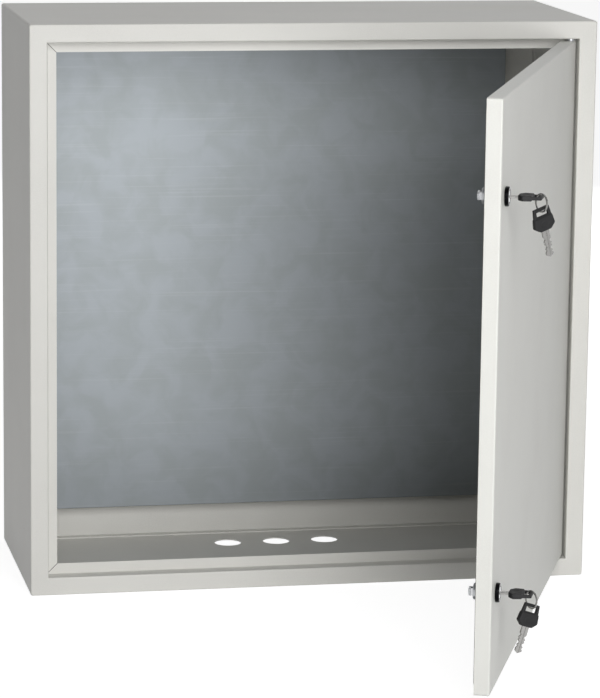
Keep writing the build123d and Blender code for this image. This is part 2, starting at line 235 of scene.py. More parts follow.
@dataclass(frozen=True)
class Mitre:
    """Painted shade of the folded lip's open seams, on the diagonals of its four corners."""

    half_width: float
    half_height: float
    depth: float
    seam_mm: float = 0.45
    # Painted shade inside the open seam.
    colour: str = "#5B5A55"

    def darken(self, tree: bpy.types.NodeTree, at, tone):
        """Draw a dark line of painted shade in the open gap where the lip's horizontal and
        vertical strips meet.

        The line is where the distances to the side wall and to the top wall are the same,
        within half a seam, and only on the lip's own plane.

        Args:
            tree: Node tree of the paint.
            at: Socket of Object coordinates, in metres.
            tone: Socket of the paint's colour.

        Returns:
            Socket of the colour with the painted seam shade in it.
        """
        place = add_node(tree, "SeparateXYZ", {0: at})
        from_side, from_top = (
            add_node(
                tree, "Math",
                {0: half,
                 1: add_node(tree, "Math", {0: place.outputs[axis]}, operation="ABSOLUTE")},
                operation="SUBTRACT",
            )
            for axis, half in (("X", self.half_width), ("Z", self.half_height))
        )
        on_diagonal = add_node(
            tree, "Math", {0: from_side, 1: from_top, 2: self.seam_mm * MM}, operation="COMPARE"
        )
        on_lip = add_node(
            tree, "Math", {0: place.outputs["Y"], 1: self.depth, 2: MM}, operation="COMPARE"
        )
        # The dark seam colour is painted shade inside the open gap.
        seam_shade = add_node(tree, "Math", {0: on_diagonal, 1: on_lip}, operation="MULTIPLY")
        mixed = add_node(
            tree, "Mix", {0: seam_shade, 6: tone, 7: linear(self.colour)}, data_type="RGBA"
        )
        return mixed.outputs[2]


def add_bump(tree: bpy.types.NodeTree, height: bpy.types.Node, height_mm: float) -> None:
    """Tilt the shader's normal by a height pattern.

    Args:
        tree: Node tree of the material.
        height: Node whose first output is the height, from 0 to 1.
        height_mm: Real height of the pattern, in millimetres.
    """
    bump = add_node(
        tree, "Bump", {"Height": height, "Strength": 1.0, "Distance": height_mm * MM}
    )
    feed(tree, "Normal", bump.outputs["Normal"])


@dataclass(frozen=True)
class GalvanisedSheet(Finish):
    """Hot-dip galvanised sheet: zinc clouds of two close greys, and faint rolling streaks.

    The eye reads a satin blue-grey metal with soft patches about 30 mm across, and level
    streaks about 150 mm long, hardly lighter than the rest, where the rolls have passed.
    """

    patch: str = "#8D9294"
    cloud_mm: float = 30.0
    streak_long_mm: float = 150.0
    streak_high_mm: float = 2.4
    streak: str = "#E4E8EC"
    streak_light: float = 0.05
    streak_height_mm: float = 0.006
    gloss_wander: float = 0.015

    def build(self) -> bpy.types.Material:
        """Mix the two greys by clouds, lighten the streaks, vary the roughness with the clouds
        and raise the streaks as a bump.

        Returns:
            The material.
        """
        material, tree, at = self.start()
        clouds = add_node(
            tree, "TexNoise",
            {"Vector": at, "Scale": per_metre(self.cloud_mm), "Detail": 3.0, "Distortion": 0.6},
        )
        cloud_share = add_node(
            tree, "MapRange", {"Value": clouds, "From Min": 0.4, "From Max": 0.62}
        )
        tone = add_node(
            tree, "Mix", {0: cloud_share, 6: linear(self.colour), 7: linear(self.patch)},
            data_type="RGBA",
        )
        stretched = add_node(
            tree, "Mapping",
            {"Vector": at, "Scale": (
                per_metre(self.streak_long_mm), per_metre(self.streak_long_mm),
                per_metre(self.streak_high_mm),
            )},
        )
        streaks = add_node(tree, "TexNoise", {"Vector": stretched, "Scale": 1.0, "Detail": 2.0})
        streak_share = add_node(
            tree, "MapRange",
            {"Value": streaks, "From Min": 0.58, "From Max": 0.78, "To Max": self.streak_light},
        )
        lit = add_node(
            tree, "Mix", {0: streak_share, 6: tone.outputs[2], 7: linear(self.streak)},
            data_type="RGBA",
        )
        feed(tree, "Base Color", lit.outputs[2])
        self.vary_gloss(tree, clouds, self.gloss_wander)
        add_bump(tree, streaks, self.streak_height_mm)
        return material


@dataclass(frozen=True)
class PlatedMetal(Finish):
    """A thin metal plating on small turned or pressed parts.

    The eye reads a bright metal whose gloss wanders a little from the plating bath, with fine
    marks of the machining below it.
    """

    metallic: float = 1.0
    blotch_mm: float = 5.0
    mark_mm: float = 0.5
    mark_height_mm: float = 0.006
    gloss_wander: float = 0.07

    def build(self) -> bpy.types.Material:
        """Vary the roughness by blotches and tilt the surface by fine marks.

        Returns:
            The material.
        """
        material, tree, at = self.start()
        blotches = add_node(
            tree, "TexNoise", {"Vector": at, "Scale": per_metre(self.blotch_mm), "Detail": 2.0}
        )
        self.vary_gloss(tree, blotches, self.gloss_wander, 0.3, 0.7)
        marks = add_node(
            tree, "TexNoise", {"Vector": at, "Scale": per_metre(self.mark_mm), "Detail": 1.0}
        )
        add_bump(tree, marks, self.mark_height_mm)
        return material


@dataclass(frozen=True)
class MouldedPlastic(Finish):
    """Injection-moulded nylon with a fine spark-eroded skin.

    The eye reads a dark semi-matt plastic whose highlights break up in a fine grain.
    """

    grain_mm: float = 0.45
    grain_height_mm: float = 0.02
    handled_mm: float = 9.0
    gloss_wander: float = 0.1

    def build(self) -> bpy.types.Material:
        """Break the highlight by a fine noise and let the gloss wander slightly.

        Returns:
            The material.
        """
        material, tree, at = self.start()
        grain = add_node(tree, "TexNoise", {"Vector": at, "Scale": per_metre(self.grain_mm)})
        handled = add_node(
            tree, "TexNoise", {"Vector": at, "Scale": per_metre(self.handled_mm), "Detail": 2.0}
        )
        self.vary_gloss(tree, handled, self.gloss_wander)
        add_bump(tree, grain, self.grain_height_mm)
        return material


@dataclass(frozen=True)
class FoamRubber(Finish):
    """Foamed-in-place polyurethane: matt, with small open pores.

    The eye reads a pale grey soft skin with pin pricks of painted shade in its pores and no
    highlight.
    """

    # Painted shade in the sunk pores.
    pore: str = "#63635F"
    pore_mm: float = 1.1
    pore_height_mm: float = 0.12

    def build(self) -> bpy.types.Material:
        """Sink and darken the cells of a fine cell pattern.

        Returns:
            The material.
        """
        material, tree, at = self.start()
        cells = add_node(tree, "TexVoronoi", {"Vector": at, "Scale": per_metre(self.pore_mm)})
        tone = add_node(
            tree, "Mix", {0: cells, 6: linear(self.pore), 7: linear(self.colour)},
            data_type="RGBA",
        )
        feed(tree, "Base Color", tone.outputs[2])
        add_bump(tree, cells, self.pore_height_mm)
        return material


@dataclass(frozen=True)
class Place:
    """A local frame in mm, with its origin in metres and its axes as unit vectors."""

    origin: np.ndarray
    x: np.ndarray
    y: np.ndarray
    z: np.ndarray

    def world(self, points: np.ndarray) -> np.ndarray:
        """Carry points in mm in this frame to metres in the cabinet's frame."""
        return self.origin + (points @ np.stack((self.x, self.y, self.z))) * MM

    def moved(self, x: float = 0.0, y: float = 0.0, z: float = 0.0) -> "Place":
        """Same axes, with the origin moved along them by so many mm."""
        return Place(self.world(np.array((x, y, z))), self.x, self.y, self.z)


def turn_angles(count: int) -> np.ndarray:
    """Evenly spaced angles of one full turn, in radians."""
    return np.arange(count) * 2 * pi / count


def turned(radii: np.ndarray, heights: np.ndarray) -> np.ndarray:
    """Rings about Z: each point is (radius·cos a, radius·sin a, height) at its angle a.

    Args:
        radii: Radius of each station, or of each station and angle.
        heights: Height of each station, or of each station and angle.

    Returns:
        Points as stations by angles by 3.
    """
    angles = turn_angles(radii.shape[1])
    flat = (radii * np.cos(angles), radii * np.sin(angles), np.broadcast_to(heights, radii.shape))
    return np.stack(flat, axis=-1)


def rings(profile: list[tuple[float, float]], count: int) -> np.ndarray:
    """Turn a profile of (radius, height) pairs about Z.

    Args:
        profile: Points of the profile in mm, in order along its outline.
        count: Number of points around each ring.

    Returns:
        Points as stations by angles by 3.
    """
    radius, height = np.array(profile).T
    return turned(np.repeat(radius[:, None], count, axis=1), height[:, None])


def layered(sections: tuple[tuple[np.ndarray, float], ...]) -> np.ndarray:
    """Rings about Z whose radii change from one height to the next.

    Args:
        sections: Radius at each angle with its height in mm, in order along the surface.

    Returns:
        Points as stations by angles by 3.
    """
    radii, heights = zip(*sections)
    return turned(np.stack(radii), np.array(heights)[:, None])


def polar_outline(corners: np.ndarray, count: int, sharpness: float = 60.0) -> np.ndarray:
    """Radius of a convex outline about the origin, at evenly spaced angles.

    In each direction the distance to every side's line is d / (n · u), for the sides that face
    that way. The radius is the least of them, softened at the corners by a p-norm: the p-th
    power of one over each distance is summed, and the p-th root of one over that sum is taken.

    Args:
        corners: Corners of the outline in order, anticlockwise, as an n by 2 array.
        count: Number of directions.
        sharpness: The power p, where a higher one gives a sharper corner.

    Returns:
        Radius in each direction.
    """
    along = np.roll(corners, -1, axis=0) - corners
    normals = np.stack((along[:, 1], -along[:, 0]), axis=1)
    normals /= np.linalg.norm(normals, axis=1, keepdims=True)
    distances = (normals * corners).sum(axis=1)
    angles = turn_angles(count)
    facing = np.stack((np.cos(angles), np.sin(angles)), axis=1) @ normals.T
    nearness = np.clip(facing / distances, 0, None)
    return (nearness ** sharpness).sum(axis=1) ** (-1 / sharpness)


def rectangle(width: float, height: float) -> np.ndarray:
    """Corners of a rectangle about the origin, anticlockwise."""
    return np.array(((1, 1), (-1, 1), (-1, -1), (1, -1))) * (width / 2, height / 2)


def hexagon(across_flats: float) -> np.ndarray:
    """Corners of a regular hexagon about the origin, with a corner on X."""
    angles = turn_angles(6)
    return np.stack((np.cos(angles), np.sin(angles)), axis=1) * across_flats / 2 / cos(pi / 6)


def smooth_step(value: np.ndarray) -> np.ndarray:
    """Rise from 0 to 1 as 3v² − 2v³, flat outside."""
    held = np.clip(value, 0, 1)
    return held * held * (3 - 2 * held)


def skin(name: str, stacks: list[Stack], sharp: float = 34.0) -> bpy.types.Object:
    """Join stacks of closed rings into one mesh object.

    Each ring's points join the next ring's in quads. A looped stack's last ring joins its
    first. Any other stack ends in a fan about the middle of its first and its last ring.

    Args:
        name: Name of the object.
        stacks: Points in metres as stations by angles by 3, each with True if it loops.
        sharp: Edges steeper than this many degrees stay sharp.

    Returns:
        The object, at the origin and linked to the scene.
    """
    points, faces, base = [], [], 0
    for stack, looped in stacks:
        if not looped:
            ends = [np.repeat(end.mean(axis=0)[None, None], stack.shape[1], axis=1)
                    for end in (stack[0], stack[-1])]
            stack = np.concatenate((ends[0], stack, ends[1]))
        stations, around = stack.shape[:2]
        row = np.arange(stations if looped else stations - 1)[:, None]
        column = np.arange(around)[None, :]
        next_row, next_column = (row + 1) % stations, (column + 1) % around
        quads = [r * around + c for r, c in (
            (row, column), (row, next_column), (next_row, next_column), (next_row, column))]
        faces.append(base + np.stack(np.broadcast_arrays(*quads), axis=-1).reshape(-1, 4))
        points.append(stack.reshape(-1, 3))
        base += stations * around
    mesh = bpy.data.meshes.new(name)
    mesh.from_pydata(np.concatenate(points).tolist(), [], np.concatenate(faces).tolist())
    tidy = bmesh.new()
    tidy.from_mesh(mesh)
    bmesh.ops.remove_doubles(tidy, verts=tidy.verts, dist=WELD_DISTANCE)
    bmesh.ops.dissolve_degenerate(tidy, edges=tidy.edges, dist=WELD_DISTANCE)
    bmesh.ops.recalc_face_normals(tidy, faces=tidy.faces)
    tidy.to_mesh(mesh)
    tidy.free()
    mesh.polygons.foreach_set("use_smooth", np.ones(len(mesh.polygons), dtype=bool))
    mesh.set_sharp_from_angle(angle=radians(sharp))
    piece = bpy.data.objects.new(name, mesh)
    bpy.context.scene.collection.objects.link(piece)
    return piece


def finish_piece(piece: bpy.types.Object, material: bpy.types.Material, body: str,
                 stands_for: tuple[str, ...]) -> None:
    """Dress a new piece, set it on its body and let it stand for its plain nodes.

    Args:
        piece: The new piece.
        material: Its finish.
        body: Body that it moves with.
        stands_for: Nodes that it is shown in place of.
    """
    piece.data.materials.append(material)
    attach(piece, body)
    if stands_for:
        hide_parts(*stands_for)
    log.info("%s: %d faces on %s", piece.name, len(piece.data.polygons), body)


def dress(material: bpy.types.Material, *nodes: str) -> None:
    """Give carried-over nodes their finish, through their material slots.

    Args:
        material: The finish.
        *nodes: Names of the nodes.
    """
    for node in nodes:
        for slot in frame["nodes"][node].material_slots:
            slot.material = material
        log.info("%s: dressed in %s", node, material.name)


def node_middle(node: str) -> np.ndarray:
    """Middle of a node's box, in metres."""
    low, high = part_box(node)
    return np.array((low + high) / 2)


@dataclass(frozen=True)
class Thread:
    """An outside screw thread: a ridge that climbs one pitch each turn."""

    diameter: float
    pitch: float
    depth_share: float = 0.61
    flank_slope: float = 1.15
    crest_share: float = 0.08

    def radius(self, heights: np.ndarray, count: int) -> np.ndarray:
        """Radius at each height and angle.

        It falls from the full radius by a triangle wave of the height in pitches less the
        angle in turns, so that the ridge climbs as it goes round.

        Args:
            heights: Heights in mm.
            count: Number of angles.

        Returns:
            Radii as heights by angles.
        """
        phase = heights[:, None] / self.pitch - turn_angles(count)[None, :] / (2 * pi)
        wave = np.abs(2 * (phase % 1.0) - 1)
        groove = np.clip(self.flank_slope * wave - self.crest_share, 0, 1)
        return self.diameter / 2 - self.depth_share * self.pitch * groove


@dataclass(frozen=True)
class Stud:
    """A threaded stud that stands on its seat, with a chamfered end."""

    thread: Thread
    length: float
    plain_length: float
    chamfer: float = 0.9
    around: int = 36

    def stack(self, place: Place) -> Stack:
        """Rings from the seat to the end: plain first, then threaded, cut by the end's cone.

        Args:
            place: Frame of its seat, with Z up its axis.

        Returns:
            The rings in metres, and whether the last joins the first.
        """
        steps = int((self.length - self.plain_length) / self.thread.pitch * 8)
        heights = np.linspace(self.plain_length, self.length, steps)
        cone = self.thread.diameter / 2 - self.chamfer + (self.length - heights)
        radii = np.minimum(self.thread.radius(heights, self.around), cone[:, None])
        low = np.array((0.0, self.plain_length - 0.2))
        plain = np.full((2, self.around), self.thread.diameter / 2 - 0.1)
        stack = np.concatenate((turned(plain, low[:, None]), turned(radii, heights[:, None])))
        return place.world(stack), False


@dataclass(frozen=True)
class HexNut:
    """A hexagon nut, chamfered on both faces, with a countersunk bore."""

    across_flats: float
    height: float
    bore: float
    around: int = 72

    def stack(self, place: Place) -> Stack:
        """Rings up the outside and down the bore.

        The outside is a hexagon cut by a cone of 30 degrees at each face, which leaves the
        curved edges of a turned chamfer.

        Args:
            place: Frame of its seat, with Z up its axis.

        Returns:
            The rings in metres, and whether the last joins the first.
        """
        corner_cut = self.across_flats * 0.07
        levels = np.concatenate((
            np.linspace(0, corner_cut, 6), np.linspace(self.height - corner_cut, self.height, 6)
        ))
        from_face = np.minimum(levels, self.height - levels)
        cone = self.across_flats * 0.475 + from_face / np.tan(radians(30))
        flats = polar_outline(hexagon(self.across_flats), self.around, 400.0)
        outside = turned(np.minimum(flats[None, :], cone[:, None]), levels[:, None])
        sink = 0.5
        bore = rings([
            (self.bore / 2 + sink, self.height), (self.bore / 2, self.height - sink),
            (self.bore / 2, sink), (self.bore / 2 + sink, 0.0),
        ], self.around)
        return place.world(np.concatenate((outside, bore))), True


@dataclass(frozen=True)
class Washer:
    """A flat punched washer: rolled over at its upper edge, square below."""

    outside: float
    bore: float
    thickness: float
    around: int = 56

    def stack(self, place: Place) -> Stack:
        """Turn the washer's section about its axis.

        Args:
            place: Frame of its seat, with Z up its axis.

        Returns:
            The rings in metres, and whether the last joins the first.
        """
        roll = self.thickness * 0.35
        outer, inner = self.outside / 2, self.bore / 2
        section = [
            (inner, 0.0), (outer - 0.05, 0.0), (outer, 0.06), (outer, self.thickness - roll),
            (outer - roll * 0.3, self.thickness - roll * 0.3), (outer - roll, self.thickness),
            (inner + roll, self.thickness), (inner + roll * 0.3, self.thickness - roll * 0.3),
            (inner, self.thickness - roll),
        ]
        return place.world(rings(section, self.around)), True


@dataclass(frozen=True)
class Fastening:
    """Stud, washer and nut of one size, repeated on some seats: 6 mm ones here."""

    body: str
    nodes: tuple[str, str, str]
    stud_length: float
    plain_length: float
    washer_from_seat: float
    thread: Thread = Thread(6.0, 1.0)
    end_chamfer: float = 0.7
    washer: Washer = Washer(12.0, 6.3, 1.6)
    nut: HexNut = HexNut(10.0, 5.0, 6.1)

    def build(self, seats: list[Place], zinc: bpy.types.Material) -> None:
        """Make the three pieces at every seat.

        Args:
            seats: Frame of each stud, with Z out of the sheet that it is welded to.
            zinc: Finish of all three.
        """
        studs, washers, nuts = self.nodes
        stud = Stud(self.thread, self.stud_length, self.plain_length, self.end_chamfer)
        on_washer = self.washer_from_seat + self.washer.thickness
        pieces = (
            (studs, [stud.stack(seat) for seat in seats]),
            (washers, [self.washer.stack(seat.moved(z=self.washer_from_seat)) for seat in seats]),
            (nuts, [self.nut.stack(seat.moved(z=on_washer)) for seat in seats]),
        )
        for node, stacks in pieces:
            piece = skin(f"{node}_fine", stacks)
            finish_piece(piece, zinc, self.body, (node,))


@dataclass
class Finishes:
    """Every material of the object, made once."""

    lip_mitre: Mitre

    def __post_init__(self) -> None:
        """Make the materials."""
        self.body_paint = PowderCoat(
            "body_powder_coat", "#DAD9D4", 0.46, mitre=self.lip_mitre).build()
        self.door_paint = PowderCoat("door_powder_coat", "#DADAD5", 0.44).build()
        self.plate = GalvanisedSheet("galvanised_sheet", "#91969A", 0.52, 1.0).build()
        self.zinc = PlatedMetal("bright_zinc", "#C4C8CC", 0.3).build()
        self.dull_zinc = PlatedMetal("passivated_zinc", "#B4B6B8", 0.38).build()
        self.chrome = PlatedMetal(
            "bright_chrome", "#C9CACC", 0.12, gloss_wander=0.03, mark_height_mm=0.002).build()
        # Chrome of the lock bezels: its near-black colour is a painted dark reflection of the dim
        # room, and the lamps still give it highlights.
        self.black_chrome = PlatedMetal(
            "black_chrome", "#121214", 0.2, gloss_wander=0.04, mark_height_mm=0.002).build()
        self.nickel = PlatedMetal("nickel_plate", "#A8A7A5", 0.3).build()
        self.black_nylon = MouldedPlastic("black_nylon", "#08080A", 0.66).build()
        self.foam = FoamRubber("foamed_seal", "#9C9C97", 0.92).build()


@dataclass
class Cabinet:
    """The fixed half: shell, back panel, mounting plate and all that is bolted to them."""

    plate_stud_diameter: float = 6.0

    def stud_seats(self, node: str) -> list[Place]:
        """Frames of the four plate studs, on the back panel, with Z to the front.

        Args:
            node: Node of the four studs, whose box gives their places.

        Returns:
            One frame for each stud.
        """
        low, high = (np.array(corner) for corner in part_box(node))
        radius = self.plate_stud_diameter / 2 * MM
        xs, zs = ((low[i] + radius, high[i] - radius) for i in (0, 2))
        return [Place(np.array((x, high[1], z)), TO_RIGHT, UP, TO_FRONT) for x in xs for z in zs]

    def build(self, finishes: Finishes) -> None:
        """Dress the sheet metal and replace the plain fasteners with threaded ones.

        Args:
            finishes: Every material of the object.
        """
        dress(finishes.body_paint, "body_shell", "back_panel")
        dress(finishes.plate, "mounting_plate")
        dress(finishes.zinc, "plate_spacers")
        dress(finishes.dull_zinc, "upper_hinge_pin", "lower_hinge_pin")
        dress(finishes.dull_zinc, "upper_hinge_washer", "lower_hinge_washer")
        low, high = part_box("plate_studs")
        stud_length = (high.y - low.y) / MM
        washer_from_seat = (high.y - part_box("mounting_plate")[0].y) / MM
        bolted = Fastening(
            "cabinet", ("plate_studs", "plate_washers", "plate_nuts"), stud_length,
            plain_length=washer_from_seat, washer_from_seat=washer_from_seat,
        )
        bolted.build(self.stud_seats("plate_studs"), finishes.zinc)
        middle = node_middle("body_earth_stud")
        seat_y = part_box("body_earth_stud")[1].y
        seat = Place(np.array((middle[0], seat_y, middle[2])), TO_RIGHT, UP, TO_FRONT)
        earth_fastening("body", "cabinet").build([seat], finishes.zinc)


def earth_fastening(owner: str, body: str) -> Fastening:
    """Protective earth terminal: a welded stud with a washer and a nut on it.

    Args:
        owner: Word that starts the names of its nodes.
        body: Body that it moves with.

    Returns:
        The fastening, ready to build on a seat.
    """
    names = tuple(f"{owner}_earth_{kind}" for kind in ("stud", "washer", "nut"))
    return Fastening(body, names, stud_length=16.0, plain_length=1.0, washer_from_seat=0.0)


@dataclass
class CamLock:
    """One lock: bezel, threaded barrel, washer, nut, turning plug, cam and cam screw.

    Its frame stands on the door's front face. X runs to the hinge, Y up and Z outwards.
    """

    side: Side
    place: Place
    bezel_diameter: float = 18.5
    bezel_height: float = 4.0
    barrel_thread: Thread = Thread(16.0, 1.0)
    barrel_flats: float = 14.0
    barrel_length: float = 21.0
    plug_diameter: float = 11.0
    plug_play: float = 0.05
    plug_setback: float = 0.1
    keyway: tuple[float, float] = (8.4, 2.2)
    keyway_depth: float = 18.2
    door_sheet: float = 1.5
    washer_thickness: float = 1.2
    nut_height: float = 4.0
    cam_play: float = 0.3
    cam_thickness: float = 2.0
    cam_reach: float = 33.0
    cam_width: float = 14.0
    cam_tip_width: float = 11.0
    plug_square: float = 7.0
    screw_diameter: float = 9.0
    screw_height: float = 2.6
    around: int = 96

    @property
    def cam_back(self) -> float:
        """Depth of the cam's far face behind the door's front."""
        return self.barrel_length + self.cam_play + self.cam_thickness

    def bezel(self) -> Stack:
        """Turned cap with a rolled edge, a raised lip and a shallow dish inside it.

        Returns:
            The rings in metres, and whether the last joins the first.
        """
        outer, top, roll = self.bezel_diameter / 2, self.bezel_height, 1.1
        bore = self.plug_diameter / 2 + self.plug_play
        edge = [(outer - roll + roll * sin(a), top - roll + roll * cos(a))
                for a in np.linspace(pi / 2, 0, 7)]
        section = [
            (bore, 0.0), (outer - 0.3, 0.0), (outer, 0.3), *edge,
            (outer - 1.9, top), (outer - 2.3, top - 0.12), (bore + 0.5, top - 0.35),
            (bore + 0.2, top - 0.3), (bore, top - 0.5),
        ]
        return self.place.world(rings(section, self.around)), True

    def barrel(self) -> Stack:
        """Threaded barrel with a flat on each side.

        Its radius is the thread's, or the distance to the flat in that direction if that is
        less.

        Returns:
            The rings in metres, and whether the last joins the first.
        """
        depths = np.linspace(0.02, self.barrel_length, int(self.barrel_length * 8))
        angles = turn_angles(self.around)
        flats = self.barrel_flats / 2 / np.maximum(np.abs(np.cos(angles)), 0.01)
        cone = self.barrel_thread.diameter / 2 - 0.7 + (self.barrel_length - depths)
        radii = np.minimum(self.barrel_thread.radius(depths, self.around), flats)
        radii = np.minimum(radii, cone[:, None])
        bore = self.plug_diameter / 2 + self.plug_play
        inside = rings([(bore, -self.barrel_length), (bore, -0.02)], self.around)
        outside = turned(radii, -depths[:, None])
        return self.place.world(np.concatenate((outside, inside))), True

    def plug(self) -> Stack:
        """Turning plug: a keyway sunk in its face, and a square end that carries the cam.

        Returns:
            The rings in metres, and whether the last joins the first.
        """
        top = self.bezel_height - self.plug_setback
        shoulder = -(self.barrel_length + self.cam_play)
        slot = polar_outline(rectangle(*self.keyway), self.around, 80.0)
        square = polar_outline(rectangle(self.plug_square, self.plug_square), self.around, 80.0)
        full = np.full(self.around, self.plug_diameter / 2)
        floor = top - self.keyway_depth
        sections = (
            (slot, floor), (slot, top - 0.3), (slot + 0.3, top), (full - 0.5, top),
            (full - 0.15, top - 0.15), (full, top - 0.5), (full, shoulder), (square, shoulder),
            (square, -self.cam_back),
        )
        return self.place.world(layered(sections)), False

    def cam(self) -> Stack:
        """Flat bar from the plug up to its rounded tip, pierced by the plug's square.

        In each direction from the plug its edge is that of the convex outline through points
        of the hub's circle and of the tip's.

        Returns:
            The rings in metres, and whether the last joins the first.
        """
        tip_radius = self.cam_tip_width / 2
        tip_up = self.cam_reach - tip_radius
        over = np.linspace(0, pi, 15)
        under = np.linspace(pi, 2 * pi, 15)
        tip = np.stack((tip_radius * np.cos(over), tip_up + tip_radius * np.sin(over)), axis=1)
        hub = np.stack((np.cos(under), np.sin(under)), axis=1) * self.cam_width / 2
        outline = polar_outline(np.concatenate((tip, hub)), self.around, 500.0)
        hole_width, edge = self.plug_square + 0.2, 0.35
        hole = polar_outline(rectangle(hole_width, hole_width), self.around)
        back, face = -self.cam_back, -self.cam_back + self.cam_thickness
        sections = (
            (hole, back), (outline - edge, back), (outline - 0.1, back + 0.1),
            (outline, back + edge), (outline, face - edge), (outline - 0.1, face - 0.1),
            (outline - edge, face), (hole, face),
        )
        return self.place.world(layered(sections)), True

    def screw(self) -> Stack:
        """Domed screw head with a cross recess, and its shank.

        The head's height falls with the fourth power of the radius. The recess is cut where
        a point is near either arm of the cross, and is deepest at the middle.

        Returns:
            The rings in metres, and whether the last joins the first.
        """
        head, height = self.screw_diameter / 2, self.screw_height
        radius = np.linspace(0.02, head, 34)[:, None]
        angles = turn_angles(self.around)[None, :]
        dome_drop, recess_depth, recess_slope = 0.8, 1.5, 0.45
        dome = height - dome_drop * (radius / head) ** 4
        x, y = np.abs(radius * np.cos(angles)), np.abs(radius * np.sin(angles))
        arm, reach, wall = 0.62, 2.3, 0.18
        along_x, along_y = (
            np.clip((arm - across) / wall, 0, 1) * np.clip((reach - along) / wall, 0, 1)
            for along, across in ((x, y), (y, x))
        )
        recess = np.maximum(along_x, along_y) * (recess_depth - recess_slope * radius)
        top = turned(np.repeat(radius, self.around, axis=1), dome - recess)
        shank = rings([(head, 0.1), (head - 0.1, 0.0), (2.0, 0.0), (2.0, -5.8)], self.around)
        stack = np.concatenate((top, shank))
        stack[..., 2] = -self.cam_back - stack[..., 2]
        return self.place.world(stack), False

    def build(self, finishes: Finishes) -> None:
        """Make the lock's pieces and set them on the door or on the turning body.

        Args:
            finishes: Every material of the object.
        """
        label = self.side.label
        turning = f"{label}_lock"
        seat = Place(self.place.origin, self.place.x, -self.place.y, -self.place.z)
        washer = Washer(22.0, 16.2, self.washer_thickness)
        nut = HexNut(22.0, self.nut_height, 16.1)
        on_washer = self.door_sheet + self.washer_thickness
        parts = (
            ("lock_bezel", self.bezel(), finishes.black_chrome, "door", "lock_chrome", ()),
            ("lock_barrel_fine", self.barrel(), finishes.dull_zinc, "door", "lock_zinc",
             ("lock_barrel",)),
            ("lock_washer_fine", washer.stack(seat.moved(z=self.door_sheet)), finishes.zinc,
             "door", "lock_zinc", ("lock_washer",)),
            ("lock_nut_fine", nut.stack(seat.moved(z=on_washer)), finishes.dull_zinc,
             "door", "lock_zinc", ("lock_nut",)),
            ("lock_plug_fine", self.plug(), finishes.chrome, turning, "lock_chrome",
             ("lock_plug",)),
            ("lock_cam_fine", self.cam(), finishes.zinc, turning, "lock_zinc", ("lock_cam",)),
            ("cam_screw_fine", self.screw(), finishes.dull_zinc, turning, "lock_zinc",
             ("cam_screw",)),
        )
        for name, stack, material, body, slot, plain in parts:
            piece = skin(f"{label}_{name}", [stack])
            nodes = tuple(f"{label}_{node}" for node in plain)
            finish_piece(piece, material, body, nodes)


